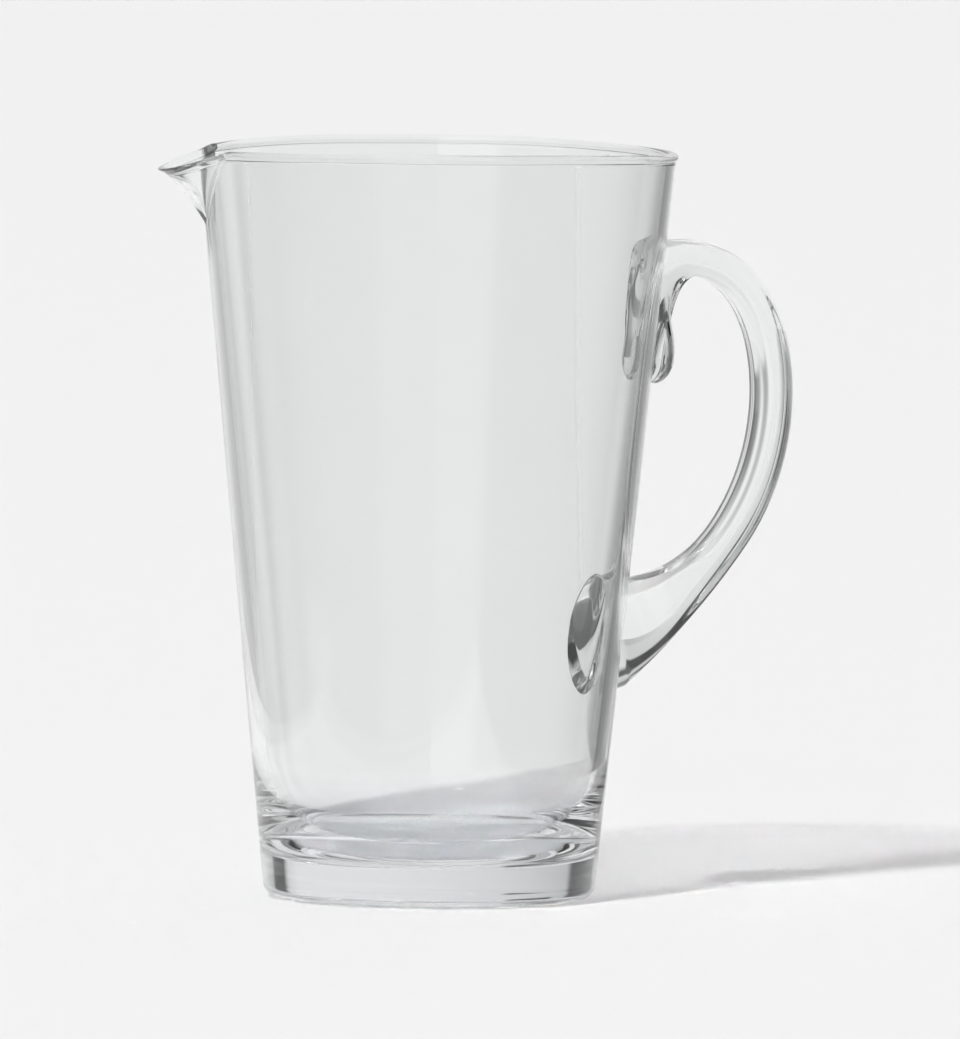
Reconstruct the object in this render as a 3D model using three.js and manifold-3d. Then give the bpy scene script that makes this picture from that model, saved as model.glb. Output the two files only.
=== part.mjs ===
import * as THREE from 'three';
import { mergeVertices } from 'three/addons/utils/BufferGeometryUtils.js';
import Module from 'manifold-3d';

// A clear glass pitcher in millimetres, +Z up. The origin is the middle of the base, on the
// table. The spout points along -X, and the handle stands nearly opposite it.

// Wall: a straight cone from the table to a rounded rim
const rimHeight = 240;
const rimRadius = 76.4;
const baseRadius = 52.6;
const rimWall = 2.8;
const lowerWall = 4.4;
const rimBead = 0.5;
const rimBeadHeight = 3.2;
const footEdgeRadius = 4.5;

// Inside floor: a heavy base hollowed to a bowl that turns up into the wall
const floorThickness = 12;
const floorSpread = 34;
const bowlTop = 46;
const bowlCorner = 10;

// Spout: the rim pulled out to a lip, over a keel that leaves the wall below it
const spoutReach = 13.2;
const spoutDrop = 6.3;
const spoutDropNarrowing = 0.8;
const spoutDepth = 26;
const spoutFullness = 2.4;
const spoutHalfAngle = THREE.MathUtils.degToRad(23);

// Sag of the rim around the spout and around the side across from it
const rimSag = 1.7;
const rimSagFullness = 2;
const rimSagHalfAngle = THREE.MathUtils.degToRad(70);

// Strap of the handle: it leaves the wall nearly level, turns down and comes back in to its foot
const handleAzimuth = THREE.MathUtils.degToRad(16);
const handleLean = THREE.MathUtils.degToRad(3.5);
const strapThickness = 11.2;
const strapWidth = 14.8;
const strapDrop = 37.2;
const strapReach = 39.4;
const strapWidestDrop = 44.8;
const shoulderRun = 31.6;
const shoulderRise = 7;
const shoulderDrop = 24;
const backDrop = 24;
const cornerRoundness = 0.45;

// Upper end of the strap, thickened downwards where it meets the wall
const rootThickness = 34;
const rootWidth = 17;
const rootFlare = 15;

// Lower end of the strap, swelling to a broad foot on the wall
const footHeight = 83.7;
const footThickness = 37.7;
const footWidth = 29.5;
const footFlare = 52.5;
const footSpread = 30;
const footLeadOut = 43.5;
const footLeadRise = 16.2;

// Fold: the end of the strap, led down the wall from its root and doubled back up to it in two
// layers. The outer one stands out furthest at a share of the way down.
const foldDrop = 36;
const foldDepth = 40.5;
const foldThickness = 6.6;
const foldReach = 10.2;
const foldWidth = 17;
const foldTaper = 18;
const foldTip = 8;
const foldPeak = 0.8;
const foldSpan = 0.45;
const foldFullness = 2;
const foldRoundness = 0.85;

// Gap that the handle keeps to the wall that it is cut to fit
const fitGap = 0.3;

// How far the handle's ends and the cutting cone run on before they are cut
const overrun = 16;

// How finely the round forms are cut
const roundSteps = 84;
const spoutCrowding = 0.6;
const spoutSteps = 8;
const beadSteps = 6;
const edgeSteps = 4;
const bowlSteps = 9;
const strapSteps = 30;
const sectionSteps = 20;
const foldSteps = 24;

const wasm = await Module();
wasm.setup();

// 1 in the middle, falling smoothly to 0 at a distance of 1: the fuller, the flatter its top
function bell(distance, fullness) {
  return (1 - Math.min(Math.abs(distance), 1) ** fullness) ** 2;
}

// 1 at the wall, falling to 0 at the given length from it
function flare(distance, length) {
  return THREE.MathUtils.clamp(1 - distance / length, 0, 1) ** 2;
}

function outerRadius(z) {
  return THREE.MathUtils.lerp(baseRadius, rimRadius, z / rimHeight);
}

function innerRadius(z) {
  const wall = THREE.MathUtils.lerp(rimWall, lowerWall, (rimHeight - z) / (rimHeight - bowlTop));
  return outerRadius(z) - wall;
}

// Closed solid through rings of equal length, drawn together to one point at each end
function solidThroughRings(rings, firstPoint, lastPoint) {
  const count = rings[0].length;
  const points = [firstPoint, ...rings.flat(), lastPoint];
  const at = (ring, i) => 1 + ring * count + (i % count);
  const lastRing = rings.length - 1;
  const faces = [];
  for (let i = 0; i < count; i += 1) {
    faces.push(0, at(0, i + 1), at(0, i));
    for (let ring = 0; ring < lastRing; ring += 1) {
      faces.push(at(ring, i), at(ring, i + 1), at(ring + 1, i + 1));
      faces.push(at(ring, i), at(ring + 1, i + 1), at(ring + 1, i));
    }
    faces.push(points.length - 1, at(lastRing, i), at(lastRing, i + 1));
  }
  const geometry = new THREE.BufferGeometry().setFromPoints(points);
  geometry.setIndex(faces);
  return geometry;
}

function solidFrom(geometry) {
  const bare = geometry.clone();
  bare.deleteAttribute('normal');
  bare.deleteAttribute('uv');
  const merged = mergeVertices(bare);
  const vertProperties = new Float32Array(merged.attributes.position.array);
  const triVerts = new Uint32Array(merged.index.array);
  return new wasm.Manifold(new wasm.Mesh({ numProp: 3, vertProperties, triVerts }));
}

function geometryFrom(solid) {
  const mesh = solid.getMesh();
  const geometry = new THREE.BufferGeometry();
  geometry.setAttribute('position', new THREE.BufferAttribute(mesh.vertProperties, 3));
  geometry.setIndex(new THREE.BufferAttribute(mesh.triVerts, 1));
  geometry.computeVertexNormals();
  return geometry;
}

// The vessel's outline from the table up, over the rim and down to the floor
function vesselOutline() {
  const outline = [];
  const edgeMiddle = outerRadius(footEdgeRadius) - footEdgeRadius;
  for (let i = 0; i <= edgeSteps; i += 1) {
    const turn = (i / edgeSteps) * (Math.PI / 2);
    const r = edgeMiddle + footEdgeRadius * Math.sin(turn);
    outline.push(new THREE.Vector2(r, footEdgeRadius * (1 - Math.cos(turn))));
  }

  const spoutFoot = rimHeight - spoutDepth;
  const beadFoot = rimHeight - rimBeadHeight;
  const wallHeights = [];
  for (let i = 0; i <= spoutSteps; i += 1) {
    wallHeights.push(THREE.MathUtils.lerp(spoutFoot, beadFoot, i / spoutSteps));
  }
  for (const z of wallHeights) {
    outline.push(new THREE.Vector2(outerRadius(z), z));
  }

  const beadMiddle = rimRadius - rimWall / 2;
  const beadHalf = rimWall / 2 + rimBead;
  const beadRise = rimBeadHeight / 2;
  const beadStart = Math.acos(rimWall / 2 / beadHalf);
  for (let i = 0; i <= beadSteps; i += 1) {
    const turn = THREE.MathUtils.lerp(-beadStart, Math.PI + beadStart, i / beadSteps);
    const z = rimHeight - beadRise + beadRise * Math.sin(turn);
    outline.push(new THREE.Vector2(beadMiddle + beadHalf * Math.cos(turn), z));
  }
  for (const z of wallHeights.toReversed()) {
    outline.push(new THREE.Vector2(innerRadius(z), z));
  }

  const bowl = new THREE.CubicBezierCurve(
    new THREE.Vector2(innerRadius(bowlTop), bowlTop),
    new THREE.Vector2(innerRadius(bowlCorner), bowlCorner),
    new THREE.Vector2(floorSpread, floorThickness),
    new THREE.Vector2(0, floorThickness),
  );
  outline.push(...bowl.getPoints(bowlSteps).slice(0, -1));
  return outline;
}

// A point of the vessel at an angle aside from the spout, pulled out and down near the lip
function vesselPoint(r, z, aside) {
  const rise = THREE.MathUtils.clamp((z - rimHeight + spoutDepth) / spoutDepth, 0, 1);
  const lip = rise > 0 ? bell(aside / (spoutHalfAngle * rise), spoutFullness) : 0;
  const offAxis = Math.min(Math.abs(aside), Math.PI - Math.abs(aside));
  const sag = rimSag * bell(offAxis / rimSagHalfAngle, rimSagFullness);
  const down = (spoutDrop * lip ** spoutDropNarrowing + sag) * rise ** 2;
  const azimuth = Math.PI + aside;
  const radius = r + spoutReach * rise * lip;
  return new THREE.Vector3(radius * Math.cos(azimuth), radius * Math.sin(azimuth), z - down);
}

function vesselGeometry() {
  const asides = [];
  for (let i = 0; i < roundSteps; i += 1) {
    const turn = THREE.MathUtils.lerp(-Math.PI, Math.PI, i / roundSteps);
    asides.push(turn - spoutCrowding * Math.sin(turn));
  }
  const rings = vesselOutline().map(
    (point) => asides.map((aside) => vesselPoint(point.x, point.y, aside)),
  );
  const underside = new THREE.Vector3(0, 0, 0);
  const floorMiddle = new THREE.Vector3(0, 0, floorThickness);
  return solidThroughRings(rings, underside, floorMiddle);
}

// Middle line of the strap in the plane of the handle, from inside the wall to inside the wall
function strapPath() {
  const strapHeight = rimHeight - strapDrop;
  const widest = new THREE.Vector3(rimRadius + strapReach, 0, strapHeight - strapWidestDrop);
  const root = new THREE.Vector3(outerRadius(strapHeight), 0, strapHeight);
  const foot = new THREE.Vector3(outerRadius(footHeight), 0, footHeight);
  const rootLead = new THREE.Vector3(shoulderRun, 0, shoulderRise);
  const footLead = new THREE.Vector3(footLeadOut, 0, footLeadRise);
  const rootEnd = root.clone().addScaledVector(rootLead, -overrun / rootLead.length());
  const footEnd = foot.clone().addScaledVector(footLead, -overrun / footLead.length());
  const path = new THREE.CurvePath();
  path.add(new THREE.LineCurve3(rootEnd, root));
  path.add(new THREE.CubicBezierCurve3(
    root,
    root.clone().add(rootLead),
    widest.clone().setZ(widest.z + shoulderDrop),
    widest,
  ));
  path.add(new THREE.CubicBezierCurve3(
    widest,
    widest.clone().setZ(widest.z - backDrop),
    foot.clone().add(footLead),
    foot,
  ));
  path.add(new THREE.LineCurve3(foot, footEnd));
  return path;
}

// One section of the strap, measured outwards and inwards from its middle line: a roundness of
// 1 makes it an ellipse, and less makes it squarer
function strapSection(middle, outwards, outer, inner, width, roundness) {
  const ring = [];
  for (let i = 0; i < sectionSteps; i += 1) {
    const turn = (i / sectionSteps) * 2 * Math.PI;
    const lift = Math.sign(Math.sin(turn)) * Math.abs(Math.sin(turn)) ** roundness;
    const side = Math.sign(Math.cos(turn)) * Math.abs(Math.cos(turn)) ** roundness;
    const point = middle.clone().addScaledVector(outwards, lift * (lift > 0 ? outer : inner));
    ring.push(point.setY(side * width / 2));
  }
  return ring;
}

function strapGeometry() {
  const path = strapPath();
  const length = path.getLength();
  const rings = [];
  for (let i = 0; i <= strapSteps; i += 1) {
    const share = i / strapSteps;
    const middle = path.getPoint(share);
    const along = path.getTangent(share);
    const outwards = new THREE.Vector3(-along.z, 0, along.x);
    const atRoot = flare(share * length - overrun, rootFlare);
    const atFoot = flare((1 - share) * length - overrun, footFlare);
    const spread = flare((1 - share) * length - overrun, footSpread);
    const rootSwell = (rootThickness - strapThickness) * atRoot;
    const footSwell = (footThickness - strapThickness) * atFoot / 2;
    const outer = strapThickness / 2 + footSwell;
    const inner = strapThickness / 2 + footSwell + rootSwell;
    const width = strapWidth + (rootWidth - strapWidth) * atRoot + (footWidth - strapWidth) * spread;
    const roundness = THREE.MathUtils.lerp(cornerRoundness, 1, Math.max(atRoot, spread));
    rings.push(strapSection(middle, outwards, outer, inner, width, roundness));
  }
  return solidThroughRings(rings, path.getPoint(0), path.getPoint(1));
}

// Swell of a rounded end from 0 at its point to 1 at the given length from it
function roundedEnd(distance, length) {
  return Math.sqrt(1 - Math.max(1 - distance / length, 0) ** 2);
}

// One layer of the fold, tapering from the root down to a rounded tip, with its stand-off
function foldLayer(standOff) {
  const half = foldThickness / 2;
  const points = [];
  for (let i = 0; i <= foldSteps; i += 1) {
    const share = i / foldSteps;
    const z = rimHeight - foldDrop - foldDepth * share;
    const offWall = half + standOff * bell((share - foldPeak) / foldSpan, foldFullness);
    points.push(new THREE.Vector3(outerRadius(z) + offWall, 0, z));
  }
  const path = new THREE.CatmullRomCurve3(points);
  const rings = points.slice(1, -1).map((middle, i) => {
    const share = (i + 1) / foldSteps;
    const along = path.getTangent(share);
    const outwards = new THREE.Vector3(-along.z, 0, along.x);
    const tip = roundedEnd((1 - share) * foldDepth, foldTip);
    const swell = tip * roundedEnd(share * foldDepth, foldTaper);
    return strapSection(middle, outwards, half * swell, half * swell, foldWidth * swell, foldRoundness);
  });
  return solidThroughRings(rings, points[0], points[foldSteps]);
}

// Cone that the handle is cut to, standing clear of the wall by the fit gap
function wallCutter() {
  const below = -overrun;
  const above = rimHeight + overrun;
  const outline = [
    new THREE.Vector2(0, below),
    new THREE.Vector2(outerRadius(below) + fitGap, below),
    new THREE.Vector2(outerRadius(above) + fitGap, above),
    new THREE.Vector2(0, above),
  ];
  return new THREE.LatheGeometry(outline, roundSteps).rotateX(Math.PI / 2);
}

function handleGeometry() {
  const middle = (rimHeight - strapDrop + footHeight) / 2;
  const pieces = [strapGeometry(), foldLayer(0), foldLayer(foldReach - foldThickness)];
  const leaning = pieces.map(
    (geometry) => geometry.translate(0, 0, -middle).rotateX(handleLean).translate(0, 0, middle),
  );
  const [strap, innerLayer, outerLayer] = leaning.map(solidFrom);
  const whole = strap.add(innerLayer).add(outerLayer);
  return geometryFrom(whole.subtract(solidFrom(wallCutter())));
}

function glassMaterial() {
  return new THREE.MeshStandardMaterial({ color: 0xdfe5e2, roughness: 0.05, metalness: 0 });
}

const vessel = new THREE.Mesh(vesselGeometry(), glassMaterial());
vessel.name = 'vessel';
vessel.geometry.computeVertexNormals();

const handle = new THREE.Mesh(handleGeometry(), glassMaterial());
handle.name = 'handle';
handle.rotation.z = handleAzimuth;

const pitcher = new THREE.Group();
pitcher.name = 'pitcher';
pitcher.add(vessel, handle);

export default pitcher;
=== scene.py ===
import math

import bpy
import numpy as np
from mathutils import Matrix, Vector


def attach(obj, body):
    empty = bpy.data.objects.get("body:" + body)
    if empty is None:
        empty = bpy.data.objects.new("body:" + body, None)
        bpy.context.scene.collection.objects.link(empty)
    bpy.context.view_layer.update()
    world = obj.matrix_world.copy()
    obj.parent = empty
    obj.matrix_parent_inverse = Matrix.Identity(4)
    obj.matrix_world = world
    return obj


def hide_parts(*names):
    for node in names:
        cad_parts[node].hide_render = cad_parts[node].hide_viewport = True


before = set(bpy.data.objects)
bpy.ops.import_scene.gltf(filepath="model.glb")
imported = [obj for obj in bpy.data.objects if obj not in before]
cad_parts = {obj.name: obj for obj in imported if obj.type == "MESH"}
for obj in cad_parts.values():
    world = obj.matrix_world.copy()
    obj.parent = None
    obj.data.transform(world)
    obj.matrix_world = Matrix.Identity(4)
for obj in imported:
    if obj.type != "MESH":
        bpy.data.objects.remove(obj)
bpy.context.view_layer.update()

MM = 0.001

# Wall of the vessel, in millimetres
RIM_HEIGHT = 240.0
RIM_RADIUS = 76.4
BASE_RADIUS = 52.6
RIM_WALL = 2.8
LOWER_WALL = 4.4
RIM_BEAD = 0.49
RIM_BEAD_HEIGHT = 3.2
FOOT_EDGE = 4.5
FLOOR_THICKNESS = 12.0
FLOOR_SPREAD = 34.0
BOWL_TOP = 46.0
BOWL_CORNER = 10.0

# Points along each stretch of the vessel's outline, and around it
UNDERSIDE_STEPS = 14
UNDERSIDE_FROM = 0.1
UNDERSIDE_TO = 0.98
FOOT_EDGE_STEPS = 14
PLAIN_WALL_STEPS = 26
LIP_STEPS = 30
BEAD_STEPS = 32
INSIDE_STEPS = 16
BOWL_STEPS = 44
AROUND_STEPS = 288
CROWDING_AT_SPOUT = 0.5

# Spout
SPOUT_REACH = 13.05
SPOUT_DROP = 6.3
SPOUT_DROP_NARROWING = 0.8
SPOUT_DEPTH = 26.0
SPOUT_FULLNESS = 2.4
SPOUT_HALF_ANGLE = math.radians(23)
RIM_SAG = 1.7
RIM_SAG_FULLNESS = 2.0
RIM_SAG_HALF_ANGLE = math.radians(70)

# Handle
HANDLE_AZIMUTH = math.radians(16)
HANDLE_LEAN = math.radians(3.5)
STRAP_THICKNESS = 11.2
STRAP_WIDTH = 14.8
STRAP_DROP = 37.2
STRAP_REACH = 39.3
STRAP_WIDEST_DROP = 44.8
SHOULDER_RUN = 31.6
SHOULDER_RISE = 7.0
SHOULDER_DROP = 24.0
BACK_DROP = 24.0
CORNER_ROUNDNESS = 0.45
ROOT_THICKNESS = 34.0
ROOT_WIDTH = 17.0
ROOT_FLARE = 15.0
FOOT_HEIGHT = 83.7
FOOT_THICKNESS = 37.7
FOOT_WIDTH = 29.5
FOOT_FLARE = 52.5
FOOT_SPREAD = 30.0
FOOT_LEAD_OUT = 43.5
FOOT_LEAD_RISE = 16.2
FOOT_SEAM_HEIGHT = 82.6
FOLD_DROP = 36.0
FOLD_DEPTH = 40.5
FOLD_THICKNESS = 6.6
FOLD_REACH = 10.2
FOLD_WIDTH = 17.0
FOLD_TAPER = 18.0
FOLD_TIP = 8.0
FOLD_PEAK = 0.8
FOLD_SPAN = 0.45
FOLD_FULLNESS = 2.0
FOLD_ROUNDNESS = 0.85
OVERRUN = 16.0
HANDLE_MIDDLE = (RIM_HEIGHT - STRAP_DROP + FOOT_HEIGHT) / 2
SEAM_GAP = 0.03
SEAM_REACH = 0.5
SHARP_EDGE = math.radians(40)
CURVE_STEPS = 400
OVERRUN_STEPS = 60
STRAP_RINGS = 220
FOLD_RINGS = 120
SECTION_STEPS = 64
CUTTER_STEPS = 360
HALF_PROBE = 0.5

# Glass: tints, its waves and clouds
THIN_GLASS_TINT = (0.985, 0.994, 0.99, 1)
THICK_GLASS_TINT = (0.85, 0.868, 0.885, 1)
THICK_GLASS_TOP = 16.0
CLEAR_GLASS_FOOT = 40.0
CLOUD_SIZE = 45.0
CLOUD_SHARE = 0.2
GLASS_HAZE = 0.006
GLASS_IOR = 1.5
WALL_WAVE_SIZE = 60.0
WALL_WAVE_HEIGHT = 0.05
STRAP_WAVE_SIZE = 14.0
STRAP_WAVE_HEIGHT = 0.02

# Camera: placed so that the pitcher stands in the picture as it does in the photograph
CAMERA_AZIMUTH = math.radians(6)
CAMERA_ELEVATION = math.radians(3.4)
CAMERA_ROLL = math.radians(0.69)
CAMERA_DISTANCE = 8.0
SENSOR_WIDTH = 36.0
PICTURE_WIDTH = 960
PIXEL = MM / 3.137
MIDDLE_OF_PITCHER = 0.12
PITCHER_LEFT_OF_MIDDLE = 480.0 - 433.2
PITCHER_BELOW_MIDDLE = 521.0 - 519.5

# Lamp and floor
LAMP_DIRECTION = (-0.44, -0.90, 0.82)
LAMP_DISTANCE = 300.0
LAMP_STEPS = 48
LAMP_HALF_ANGLE = math.radians(3.2)
LAMP_LEVEL = 2.45
LAMP_STRENGTH = LAMP_LEVEL / (math.pi * math.tan(LAMP_HALF_ANGLE) ** 2)
LAMP_GLINT = 0.02
FLOOR_HALF_SIZE = 30.0
FLOOR_TONE = 0.8
FLOOR_CLEARANCE = 0.0004
# The sheet of floor that the glass shows, in metres from the pitcher's axis
SHEET_LEFT = -0.3
SHEET_RIGHT = 0.15
SHEET_FADE = 0.02
SHEET_FRONT = (-0.27, -0.24)
SHEET_FRONT_SLANT = 0.434

# Room that the glass shows: azimuths in degrees from the line of sight, to the right, and the tone there
WALLS_OF_THE_ROOM = [
    (-180, 0.78), (-152, 0.78), (-146, 0.12), (-104, 0.1), (-70, 0.04), (-47, 0.02), (-44, 0.5),
    (-36, 0.58), (-20, 0.7), (0, 0.8), (12, 0.84), (40, 0.84), (46, 0.7), (49, 0.03), (58, 0.03),
    (61, 0.55), (74, 0.5), (80, 0.14), (180, 0.12),
]
TABLE_EDGES = [
    (-180, 0.78), (-152, 0.78), (-146, 0.12), (-104, 0.1), (-64, 0.1), (-58, 0.52), (-40, 0.55),
    (-28, 0.5), (-20, 0.64), (-12, 0.82), (-5, 0.9), (9, 0.92), (12, 0.62), (16, 0.42), (20, 0.32),
    (34, 0.26), (37, 0.16), (60, 0.16), (180, 0.12),
]
TABLE_TOP = [
    (-180, 0.65), (-152, 0.65), (-146, 0.4), (-112, 0.3), (-104, 0.1), (-64, 0.1), (-58, 0.6),
    (-44, 0.74), (0, 0.82), (18, 0.76), (22, 0.46), (34, 0.42), (37, 0.18), (60, 0.17), (74, 0.2),
    (180, 0.3),
]
# 1 where the bright ceiling starts high above the walls, and 0 where it starts low
SHADED_SIDE = [
    (-180, 1.0), (-165, 1.0), (-150, 0.0), (-110, 0.0), (-104, 1.0), (-28, 1.0), (-23, 0.0),
    (60, 0.0), (72, 1.0), (180, 1.0),
]
CEILING_TONE = 0.75
UNDERSIDE_TONE = 0.6
AFTER_FLOOR_TONE = 0.62
BACKDROP_TONE = 0.879
# Heights at which one part of the room gives way to the next, as shares of straight up
UNDERSIDE_TO_TABLE = (-0.7, -0.5)
TABLE_TOP_TO_EDGES = (-0.26, -0.14)
TABLE_TO_WALLS = (-0.03, 0.0)
LOW_CEILING = (0.2, 0.4)
HIGH_CEILING = (0.75, 0.9)
# Sides on which the glass, looked straight through, shows a plain tone in place of the walls
BACK_OF_THE_ROOM = [(-180, 1.0), (-78, 1.0), (-70, 0.0), (64, 0.0), (74, 1.0), (180, 1.0)]
BACK_TONE = 0.84
BACK_TOP = (0.3, 0.45)
# Dark screens in the room: from and to in degrees, bottom and top as shares of straight up, and tone
DARK_SCREENS = [(-37, -20, 0.21, 0.55, 0.06)]
SCREEN_SIDE_FADE = 2
SCREEN_BOTTOM_FADE = 0.03
SCREEN_TOP_FADE = 0.05
# Between no bounce and one, for a count of bounces
ANY_BOUNCE = (0.4, 0.6)
MOST_BOUNCES = 48


def grey(tone):
    return (tone, tone, tone, 1)


class Socket:
    """One output of a shader node, so that shader maths reads as arithmetic."""

    def __init__(self, tree, output):
        self.tree = tree
        self.output = output

    def node(self, kind, settings=None, inputs=None, out=0):
        made = self.tree.nodes.new(kind)
        for key, value in (settings or {}).items():
            if key == "stops":
                ramp = made.color_ramp
                while len(ramp.elements) < len(value):
                    ramp.elements.new(1.0)
                for stop, (place, tone) in zip(ramp.elements, value):
                    stop.position = place
                    stop.color = grey(tone)
            else:
                setattr(made, key, value)
        for key, value in (inputs or {}).items():
            if isinstance(value, Socket):
                self.tree.links.new(value.output, made.inputs[key])
            else:
                made.inputs[key].default_value = value
        return Socket(self.tree, made.outputs[out]) if len(made.outputs) else made

    def maths(self, operation, *values):
        return self.node("ShaderNodeMath", {"operation": operation}, dict(enumerate(values)))

    def __add__(self, other):
        return self.maths("ADD", self, other)

    __radd__ = __add__

    def __sub__(self, other):
        return self.maths("SUBTRACT", self, other)

    def __rsub__(self, other):
        return self.maths("SUBTRACT", other, self)

    def __mul__(self, other):
        return self.maths("MULTIPLY", self, other)

    __rmul__ = __mul__

    def __truediv__(self, other):
        return self.maths("DIVIDE", self, other)

    def __pow__(self, other):
        return self.maths("POWER", self, other)

    def beside(self, name):
        """Another output of the same node."""
        return Socket(self.tree, self.output.node.outputs[name])

    def clamped(self, low, high, to_low=0.0, to_high=1.0):
        return self.node(
            "ShaderNodeMapRange",
            {"interpolation_type": "SMOOTHSTEP"},
            {"Value": self, "From Min": low, "From Max": high, "To Min": to_low, "To Max": to_high},
        )

    def between(self, first, second):
        """The colour that lies this share of the way from the first to the second."""
        values = {"Factor": self, "A": first, "B": second}
        return self.node("ShaderNodeMix", {"data_type": "RGBA"}, values, 2)

    def tones(self, pairs):
        """The tone at this azimuth, where -180 to 180 degrees is 0 to 1."""
        stops = [((turn + 180.0) / 360.0, tone) for turn, tone in pairs]
        return self.node("ShaderNodeValToRGB", {"stops": stops}, {"Fac": self})


def smooth_object(name, mesh):
    made = bpy.data.objects.new(name, mesh)
    bpy.context.scene.collection.objects.link(made)
    mesh.polygons.foreach_set("use_smooth", [True] * len(mesh.polygons))
    return made


def mesh_through_rings(name, rings, first_point, last_point):
    count = len(rings[0])
    points = np.vstack([[first_point], np.vstack(rings), [last_point]]) * MM
    faces = []
    last_ring = len(rings) - 1
    for i in range(count):
        j = (i + 1) % count
        faces.append((0, 1 + j, 1 + i))
        for ring in range(last_ring):
            low = 1 + ring * count
            high = low + count
            faces.append((low + i, low + j, high + j, high + i))
        top = 1 + last_ring * count
        faces.append((len(points) - 1, top + i, top + j))
    mesh = bpy.data.meshes.new(name)
    mesh.from_pydata(points.tolist(), [], faces)
    mesh.validate()
    return mesh


def bell(distance, fullness):
    return (1 - np.minimum(np.abs(distance), 1) ** fullness) ** 2


def outer_radius(z):
    return BASE_RADIUS + (RIM_RADIUS - BASE_RADIUS) * z / RIM_HEIGHT


def inner_radius(z):
    share = (RIM_HEIGHT - z) / (RIM_HEIGHT - BOWL_TOP)
    return outer_radius(z) - (RIM_WALL + (LOWER_WALL - RIM_WALL) * share)


def bezier(points, count):
    t = np.linspace(0, 1, count)[:, None]
    a, b, c, d = (np.array(p, float) for p in points)
    return a * (1 - t) ** 3 + 3 * b * t * (1 - t) ** 2 + 3 * c * t ** 2 * (1 - t) + d * t ** 3


def vessel_outline():
    edge_middle = outer_radius(FOOT_EDGE) - FOOT_EDGE
    shares = np.linspace(UNDERSIDE_FROM, UNDERSIDE_TO, UNDERSIDE_STEPS)
    outline = [(edge_middle * share, 0.0) for share in shares]
    for turn in np.linspace(0, math.pi / 2, FOOT_EDGE_STEPS):
        outline.append((edge_middle + FOOT_EDGE * math.sin(turn), FOOT_EDGE * (1 - math.cos(turn))))
    spout_foot = RIM_HEIGHT - SPOUT_DEPTH
    bead_foot = RIM_HEIGHT - RIM_BEAD_HEIGHT
    plain = list(np.linspace(FOOT_EDGE, spout_foot, PLAIN_WALL_STEPS)[1:-1])
    lip = list(np.linspace(spout_foot, bead_foot, LIP_STEPS))
    for z in plain + lip:
        outline.append((outer_radius(z), z))
    middle = RIM_RADIUS - RIM_WALL / 2
    half = RIM_WALL / 2 + RIM_BEAD
    rise = RIM_BEAD_HEIGHT / 2
    start = math.acos(RIM_WALL / 2 / half)
    for turn in np.linspace(-start, math.pi + start, BEAD_STEPS):
        outline.append((middle + half * math.cos(turn), RIM_HEIGHT - rise + rise * math.sin(turn)))
    for z in lip[::-1]:
        outline.append((inner_radius(z), z))
    for z in np.linspace(spout_foot, BOWL_TOP, INSIDE_STEPS)[1:-1]:
        outline.append((inner_radius(z), z))
    bowl = bezier(
        [
            (inner_radius(BOWL_TOP), BOWL_TOP),
            (inner_radius(BOWL_CORNER), BOWL_CORNER),
            (FLOOR_SPREAD, FLOOR_THICKNESS),
            (0.0, FLOOR_THICKNESS),
        ],
        BOWL_STEPS,
    )
    outline.extend(map(tuple, bowl[:-1]))
    return np.array(outline)


def vessel_mesh():
    turn = np.linspace(-math.pi, math.pi, AROUND_STEPS, endpoint=False)
    aside = turn - CROWDING_AT_SPOUT * np.sin(turn)
    rings = []
    for r, z in vessel_outline():
        rise = min(max((z - RIM_HEIGHT + SPOUT_DEPTH) / SPOUT_DEPTH, 0.0), 1.0)
        lip = bell(aside / (SPOUT_HALF_ANGLE * rise), SPOUT_FULLNESS) if rise > 0 else 0 * aside
        off_axis = np.minimum(np.abs(aside), math.pi - np.abs(aside))
        sag = RIM_SAG * bell(off_axis / RIM_SAG_HALF_ANGLE, RIM_SAG_FULLNESS)
        down = (SPOUT_DROP * lip ** SPOUT_DROP_NARROWING + sag) * rise ** 2
        radius = r + SPOUT_REACH * rise * lip
        azimuth = math.pi + aside
        rings.append(np.stack([radius * np.cos(azimuth), radius * np.sin(azimuth), z - down], 1))
    return mesh_through_rings("vessel_glass", rings, (0, 0, 0), (0, 0, FLOOR_THICKNESS))


def strap_path():
    strap_height = RIM_HEIGHT - STRAP_DROP
    widest = np.array([RIM_RADIUS + STRAP_REACH, strap_height - STRAP_WIDEST_DROP])
    root = np.array([outer_radius(strap_height), strap_height])
    foot = np.array([outer_radius(FOOT_HEIGHT), FOOT_HEIGHT])
    root_lead = np.array([SHOULDER_RUN, SHOULDER_RISE])
    foot_lead = np.array([FOOT_LEAD_OUT, FOOT_LEAD_RISE])
    root_end = root - root_lead / np.linalg.norm(root_lead) * OVERRUN
    foot_end = foot - foot_lead / np.linalg.norm(foot_lead) * OVERRUN
    upper = bezier([root, root + root_lead, widest + [0, SHOULDER_DROP], widest], CURVE_STEPS)
    lower = bezier([widest, widest - [0, BACK_DROP], foot + foot_lead, foot], CURVE_STEPS)
    start = np.linspace(root_end, root, OVERRUN_STEPS)
    end = np.linspace(foot, foot_end, OVERRUN_STEPS)
    path = np.vstack([start[:-1], upper[:-1], lower[:-1], end])
    length = np.concatenate([[0], np.cumsum(np.linalg.norm(np.diff(path, axis=0), axis=1))])
    return path, length


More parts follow.
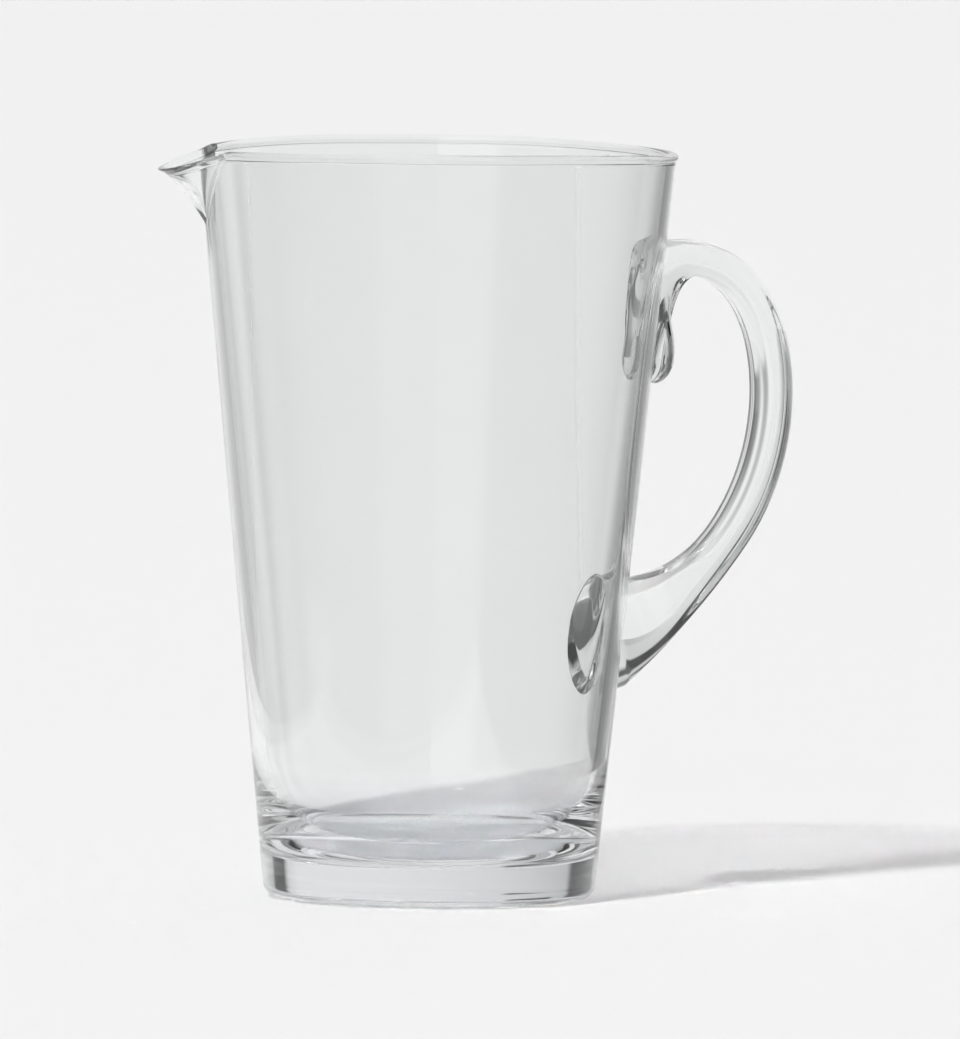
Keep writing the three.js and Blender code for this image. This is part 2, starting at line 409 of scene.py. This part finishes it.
def strap_section(middle, outwards, outer, inner, width, roundness):
    turn = np.linspace(0, 2 * math.pi, SECTION_STEPS, endpoint=False)
    lift = np.sign(np.sin(turn)) * np.abs(np.sin(turn)) ** roundness
    side = np.sign(np.cos(turn)) * np.abs(np.cos(turn)) ** roundness
    reach = lift * np.where(lift > 0, outer, inner)
    return np.stack(
        [middle[0] + outwards[0] * reach, side * width / 2, middle[1] + outwards[1] * reach], 1
    )


def flare(distance, length):
    return min(max(1 - distance / length, 0.0), 1.0) ** 2


def strap_mesh():
    path, length = strap_path()
    whole = length[-1]
    rings = []
    for at in np.linspace(0, whole, STRAP_RINGS):
        middle = np.array([np.interp(at, length, path[:, k]) for k in (0, 1)])
        ahead = np.array([np.interp(at + HALF_PROBE, length, path[:, k]) for k in (0, 1)])
        behind = np.array([np.interp(at - HALF_PROBE, length, path[:, k]) for k in (0, 1)])
        along = (ahead - behind) / np.linalg.norm(ahead - behind)
        outwards = np.array([-along[1], along[0]])
        at_root = flare(at - OVERRUN, ROOT_FLARE)
        at_foot = flare(whole - at - OVERRUN, FOOT_FLARE)
        spread = flare(whole - at - OVERRUN, FOOT_SPREAD)
        root_swell = (ROOT_THICKNESS - STRAP_THICKNESS) * at_root
        foot_swell = (FOOT_THICKNESS - STRAP_THICKNESS) * at_foot / 2
        outer = STRAP_THICKNESS / 2 + foot_swell
        inner = STRAP_THICKNESS / 2 + foot_swell + root_swell
        width = STRAP_WIDTH + (ROOT_WIDTH - STRAP_WIDTH) * at_root + (FOOT_WIDTH - STRAP_WIDTH) * spread
        roundness = CORNER_ROUNDNESS + (1 - CORNER_ROUNDNESS) * max(at_root, spread)
        rings.append(strap_section(middle, outwards, outer, inner, width, roundness))
    first = (path[0][0], 0, path[0][1])
    last = (path[-1][0], 0, path[-1][1])
    return mesh_through_rings("strap", rings, first, last)


def rounded_end(distance, length):
    return np.sqrt(1 - np.maximum(1 - distance / length, 0) ** 2)


def fold_layer_mesh(stand_off):
    """One layer of the strap's folded end, tapering from the root down the wall to a rounded tip."""
    share = (1 - np.cos(np.linspace(0, math.pi, FOLD_RINGS))) / 2
    height = RIM_HEIGHT - FOLD_DROP - FOLD_DEPTH * share
    half = FOLD_THICKNESS / 2
    off_wall = half + stand_off * bell((share - FOLD_PEAK) / FOLD_SPAN, FOLD_FULLNESS)
    path = np.stack([outer_radius(height) + off_wall, height], 1)
    along = np.gradient(path, axis=0)
    along /= np.linalg.norm(along, axis=1)[:, None]
    swell = rounded_end((1 - share) * FOLD_DEPTH, FOLD_TIP) * rounded_end(share * FOLD_DEPTH, FOLD_TAPER)
    rings = []
    for middle, way, size in list(zip(path, along, swell))[1:-1]:
        outwards = (-way[1], way[0])
        depth = half * size
        rings.append(strap_section(middle, outwards, depth, depth, FOLD_WIDTH * size, FOLD_ROUNDNESS))
    first = (path[0][0], 0, path[0][1])
    last = (path[-1][0], 0, path[-1][1])
    return mesh_through_rings("fold_layer", rings, first, last)


def apply_modifiers(obj):
    """Works the object's modifiers into its mesh."""
    graph = bpy.context.evaluated_depsgraph_get()
    mesh = bpy.data.meshes.new_from_object(obj.evaluated_get(graph))
    obj.modifiers.clear()
    obj.data = mesh


def work(obj, tool, operation):
    """Joins the object with another one, or cuts it by that one, which is used up."""
    step = obj.modifiers.new(operation.lower(), "BOOLEAN")
    step.operation = operation
    step.solver = "MANIFOLD"
    step.object = tool
    apply_modifiers(obj)
    bpy.data.objects.remove(tool)


def wall_cutter():
    turn = np.linspace(0, 2 * math.pi, CUTTER_STEPS, endpoint=False)
    ends = (-OVERRUN, RIM_HEIGHT + OVERRUN)
    rings = []
    for z in ends:
        radius = outer_radius(z) + SEAM_GAP
        rings.append(np.stack([radius * np.cos(turn), radius * np.sin(turn), 0 * turn + z], 1))
    mesh = mesh_through_rings("wall_cutter", rings, (0, 0, ends[0]), (0, 0, ends[1]))
    return smooth_object("wall_cutter", mesh)


def handle_object():
    middle = Vector((0, 0, HANDLE_MIDDLE * MM))
    tilt = Matrix.Rotation(HANDLE_LEAN, 4, "X")
    lean = Matrix.Translation(middle) @ tilt @ Matrix.Translation(-middle)
    strap = smooth_object("handle_glass", strap_mesh())
    strap.data.transform(lean)
    for stand_off in (0.0, FOLD_REACH - FOLD_THICKNESS):
        layer = smooth_object("fold_layer", fold_layer_mesh(stand_off))
        layer.data.transform(lean)
        work(strap, layer, "UNION")
    work(strap, wall_cutter(), "DIFFERENCE")
    strap.data.transform(Matrix.Rotation(HANDLE_AZIMUTH, 4, "Z"))
    strap.data.polygons.foreach_set("use_smooth", [True] * len(strap.data.polygons))
    strap.data.set_sharp_from_angle(angle=SHARP_EDGE)
    return strap


def fused_share(place):
    """1 on the wall and on the handle's ends where the two are one glass, and 0 elsewhere."""
    x = place.node("ShaderNodeSeparateXYZ", None, {"Vector": place}, "X")
    y = x.beside("Y")
    z = x.beside("Z")
    radius = (x ** 2 + y ** 2) ** 0.5
    wall_radius = BASE_RADIUS * MM + z * ((RIM_RADIUS - BASE_RADIUS) / RIM_HEIGHT)
    off_wall = radius.maths("ABSOLUTE", radius - wall_radius)
    facing = place.node(
        "ShaderNodeVectorRotate", {"rotation_type": "Z_AXIS"}, {"Vector": place, "Angle": -HANDLE_AZIMUTH}
    )
    upright = place.node(
        "ShaderNodeVectorRotate",
        {"rotation_type": "X_AXIS"},
        {"Vector": facing, "Angle": -HANDLE_LEAN, "Center": (0, 0, HANDLE_MIDDLE * MM)},
    )
    out = place.node("ShaderNodeSeparateXYZ", None, {"Vector": upright}, "X")
    side = out.beside("Y")
    up = out.beside("Z")
    foot_up = (up - FOOT_SEAM_HEIGHT * MM) / (FOOT_THICKNESS / 2 * MM)
    foot = (side / (FOOT_WIDTH / 2 * MM)) ** 2 + foot_up ** 2
    root_height = (RIM_HEIGHT - STRAP_DROP) * MM
    above_root = (up - root_height) / (STRAP_THICKNESS / 2 * MM)
    below_root = (root_height - up) / ((ROOT_THICKNESS - STRAP_THICKNESS / 2) * MM)
    root = (side / (ROOT_WIDTH / 2 * MM)) ** 2 + radius.maths("MAXIMUM", above_root, below_root) ** 2
    seam = radius.maths("LESS_THAN", radius.maths("MINIMUM", foot, root), 1.0)
    near_wall = radius.maths("LESS_THAN", off_wall, SEAM_REACH * MM)
    return seam * near_wall * radius.maths("GREATER_THAN", out, 0.0)


def clear_glass(name, wave_size, wave_height):
    """Glass with soft waves left by the working of it, deeper in colour where it is thick."""
    made = bpy.data.materials.new(name)
    made.use_nodes = True
    tree = made.node_tree
    shader = tree.nodes["Principled BSDF"]
    base = Socket(tree, None)
    place = base.node("ShaderNodeTexCoord", None, None, "Object")
    height = base.node("ShaderNodeSeparateXYZ", None, {"Vector": place}, "Z")
    wave_scale = 1 / (wave_size * MM)
    cloud_scale = 1 / (CLOUD_SIZE * MM)
    waves = base.node("ShaderNodeTexNoise", None, {"Vector": place, "Scale": wave_scale, "Detail": 1.0})
    cloud = base.node("ShaderNodeTexNoise", None, {"Vector": place, "Scale": cloud_scale, "Detail": 3.0})
    low_down = height.clamped(THICK_GLASS_TOP * MM, CLEAR_GLASS_FOOT * MM, 1.0, 0.0)
    depth = low_down * (1 - CLOUD_SHARE) + cloud * CLOUD_SHARE
    tint = depth.between(THIN_GLASS_TINT, THICK_GLASS_TINT)
    ripple = {"Strength": 1.0, "Distance": wave_height * MM, "Height": waves}
    bump = base.node("ShaderNodeBump", None, ripple)
    tree.links.new(tint.output, shader.inputs["Base Color"])
    tree.links.new((cloud * GLASS_HAZE).output, shader.inputs["Roughness"])
    tree.links.new(bump.output, shader.inputs["Normal"])
    shader.inputs["IOR"].default_value = GLASS_IOR
    shader.inputs["Transmission Weight"].default_value = 1.0
    clear = base.node("ShaderNodeBsdfTransparent")
    mixed = base.node(
        "ShaderNodeMixShader", None, {0: fused_share(place), 1: Socket(tree, shader.outputs[0]), 2: clear}
    )
    tree.links.new(mixed.output, tree.nodes["Material Output"].inputs["Surface"])
    return made


def studio_floor():
    """A pale floor. The glass shows it only on a sheet around the pitcher, and the room beyond."""
    size = FLOOR_HALF_SIZE
    corners = [(-size, -size, 0), (size, -size, 0), (size, size, 0), (-size, size, 0)]
    mesh = bpy.data.meshes.new("floor")
    mesh.from_pydata(corners, [], [(0, 1, 2, 3)])
    floor = bpy.data.objects.new("floor", mesh)
    floor.location.z = -FLOOR_CLEARANCE
    bpy.context.scene.collection.objects.link(floor)
    made = bpy.data.materials.new("pale_floor")
    made.use_nodes = True
    tree = made.node_tree
    shader = tree.nodes["Principled BSDF"]
    shader.inputs["Base Color"].default_value = grey(FLOOR_TONE)
    shader.inputs["Roughness"].default_value = 1.0
    shader.inputs["Specular IOR Level"].default_value = 0.0
    base = Socket(tree, None)
    place = base.node("ShaderNodeTexCoord", None, None, "Object")
    turned = base.node(
        "ShaderNodeVectorRotate", {"rotation_type": "Z_AXIS"}, {"Vector": place, "Angle": CAMERA_AZIMUTH}
    )
    aside = base.node("ShaderNodeSeparateXYZ", None, {"Vector": turned}, "X")
    back = aside.beside("Y")
    on_sheet = (
        aside.clamped(SHEET_RIGHT, SHEET_RIGHT + SHEET_FADE, 1.0, 0.0)
        * aside.clamped(SHEET_LEFT - SHEET_FADE, SHEET_LEFT)
        * (back + SHEET_FRONT_SLANT * aside).clamped(*SHEET_FRONT)
    )
    path = base.node("ShaderNodeLightPath", None, None, "Is Camera Ray")
    shown = path.maths("MAXIMUM", path, on_sheet)
    clear = base.node("ShaderNodeBsdfTransparent")
    solid = Socket(tree, shader.outputs[0])
    mixed = base.node("ShaderNodeMixShader", None, {0: shown, 1: clear, 2: solid})
    tree.links.new(mixed.output, tree.nodes["Material Output"].inputs["Surface"])
    mesh.materials.append(made)


def studio_world():
    """A plain backdrop for the camera, and a room of bright and dark walls that the glass shows."""
    world = bpy.data.worlds.new("studio")
    bpy.context.scene.world = world
    world.use_nodes = True
    tree = world.node_tree
    tree.nodes.clear()
    base = Socket(tree, None)
    base.node("ShaderNodeOutputWorld")
    path = base.node("ShaderNodeLightPath", None, None, "Is Camera Ray")
    after_floor = path.beside("Diffuse Depth").clamped(*ANY_BOUNCE)
    way = base.node("ShaderNodeTexCoord", None, None, "Generated")
    turned = base.node(
        "ShaderNodeVectorRotate", {"rotation_type": "Z_AXIS"}, {"Vector": way, "Angle": CAMERA_AZIMUTH}
    )
    x = base.node("ShaderNodeSeparateXYZ", None, {"Vector": turned}, "X")
    z = x.beside("Z")
    degrees = x.maths("ARCTAN2", x, x.beside("Y")) * (180 / math.pi)
    turn = degrees / 360.0 + 0.5
    table = z.clamped(*TABLE_TOP_TO_EDGES).between(turn.tones(TABLE_TOP), turn.tones(TABLE_EDGES))
    room = z.clamped(*TABLE_TO_WALLS).between(table, turn.tones(WALLS_OF_THE_ROOM))
    shade = turn.tones(SHADED_SIDE)
    ceiling = z.clamped(*LOW_CEILING) * (1.0 - shade) + z.clamped(*HIGH_CEILING) * shade
    room = ceiling.between(room, grey(CEILING_TONE))
    for left, right, bottom, head, tone in DARK_SCREENS:
        from_left = degrees.clamped(left - SCREEN_SIDE_FADE, left + SCREEN_SIDE_FADE)
        to_right = degrees.clamped(right - SCREEN_SIDE_FADE, right + SCREEN_SIDE_FADE, 1.0, 0.0)
        from_bottom = z.clamped(bottom - SCREEN_BOTTOM_FADE, bottom + SCREEN_BOTTOM_FADE)
        to_head = z.clamped(head - SCREEN_TOP_FADE, head + SCREEN_TOP_FADE, 1.0, 0.0)
        room = (from_left * to_right * (from_bottom * to_head)).between(room, grey(tone))
    unreflected = path.beside("Glossy Depth").clamped(*ANY_BOUNCE, 1.0, 0.0)
    straight_through = path.beside("Is Transmission Ray") * unreflected
    at_back = turn.tones(BACK_OF_THE_ROOM) * z.clamped(*BACK_TOP, 1.0, 0.0)
    room = (straight_through * at_back).between(room, grey(BACK_TONE))
    room = z.clamped(*UNDERSIDE_TO_TABLE).between(grey(UNDERSIDE_TONE), room)
    shown = after_floor.between(room, grey(AFTER_FLOOR_TONE))
    seen = path.between(shown, grey(BACKDROP_TONE))
    light = base.node("ShaderNodeBackground", None, {"Color": seen})
    tree.links.new(light.output, tree.nodes["World Output"].inputs["Surface"])


def studio_lamp():
    """A round lamp at the front left, of which the glass shows only a faint glint."""
    towards = Matrix.Rotation(-CAMERA_AZIMUTH, 3, "Z") @ Vector(LAMP_DIRECTION).normalized()
    radius = LAMP_DISTANCE * math.tan(LAMP_HALF_ANGLE)
    turn = np.linspace(0, 2 * math.pi, LAMP_STEPS, endpoint=False)
    points = np.stack([radius * np.cos(turn), radius * np.sin(turn), 0 * turn], 1)
    mesh = bpy.data.meshes.new("lamp")
    mesh.from_pydata(points.tolist(), [], [tuple(range(LAMP_STEPS))])
    lamp = bpy.data.objects.new("lamp", mesh)
    bpy.context.scene.collection.objects.link(lamp)
    lamp.location = towards * LAMP_DISTANCE
    lamp.rotation_euler = towards.to_track_quat("Z", "Y").to_euler()
    lamp.visible_camera = False
    lamp.visible_glossy = False
    made = bpy.data.materials.new("lamp_light")
    made.use_nodes = True
    tree = made.node_tree
    tree.nodes.clear()
    base = Socket(tree, None)
    through_glass = base.node("ShaderNodeLightPath", None, None, "Is Transmission Ray")
    after_floor = through_glass.beside("Diffuse Depth").clamped(*ANY_BOUNCE)
    shown = 1.0 - through_glass * (1.0 - after_floor) * (1.0 - LAMP_GLINT)
    light = base.node("ShaderNodeEmission", None, {"Strength": shown * LAMP_STRENGTH})
    base.node("ShaderNodeOutputMaterial", None, {"Surface": light})
    mesh.materials.append(made)


def photo_camera():
    level = math.cos(CAMERA_ELEVATION)
    back = Vector(
        (-math.sin(CAMERA_AZIMUTH) * level, -math.cos(CAMERA_AZIMUTH) * level, math.sin(CAMERA_ELEVATION))
    )
    right = Vector((math.cos(CAMERA_AZIMUTH), -math.sin(CAMERA_AZIMUTH), 0))
    up = back.cross(right)
    side = right * math.cos(CAMERA_ROLL) + up * math.sin(CAMERA_ROLL)
    head = up * math.cos(CAMERA_ROLL) - right * math.sin(CAMERA_ROLL)
    aim = Vector((0, 0, MIDDLE_OF_PITCHER))
    aim = aim + side * PITCHER_LEFT_OF_MIDDLE * PIXEL + head * PITCHER_BELOW_MIDDLE * PIXEL
    data = bpy.data.cameras.new("photo_camera")
    data.sensor_fit = "HORIZONTAL"
    data.sensor_width = SENSOR_WIDTH
    data.lens = SENSOR_WIDTH * CAMERA_DISTANCE / (PICTURE_WIDTH * PIXEL)
    data.clip_start = 0.1
    data.clip_end = 200.0
    camera = bpy.data.objects.new("photo_camera", data)
    bpy.context.scene.collection.objects.link(camera)
    turned = Matrix((side, head, back)).transposed().to_4x4()
    camera.matrix_world = Matrix.Translation(aim + back * CAMERA_DISTANCE) @ turned
    bpy.context.scene.camera = camera


scene = bpy.context.scene
scene.view_settings.view_transform = "Standard"
photo_camera()
studio_floor()
studio_world()
studio_lamp()

vessel = smooth_object("vessel_glass", vessel_mesh())
vessel.data.materials.append(clear_glass("blown_glass", WALL_WAVE_SIZE, WALL_WAVE_HEIGHT))
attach(vessel, "root")
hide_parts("vessel")

handle = handle_object()
handle.data.materials.clear()
handle.data.materials.append(clear_glass("drawn_glass", STRAP_WAVE_SIZE, STRAP_WAVE_HEIGHT))
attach(handle, "root")
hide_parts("handle")

# Enough bounces for light to leave the thick glass, and no blur or clamp on what passes through it
scene.cycles.max_bounces = MOST_BOUNCES
scene.cycles.transmission_bounces = MOST_BOUNCES
scene.cycles.glossy_bounces = MOST_BOUNCES
scene.cycles.sample_clamp_indirect = 0.0
scene.cycles.blur_glossy = 0.0
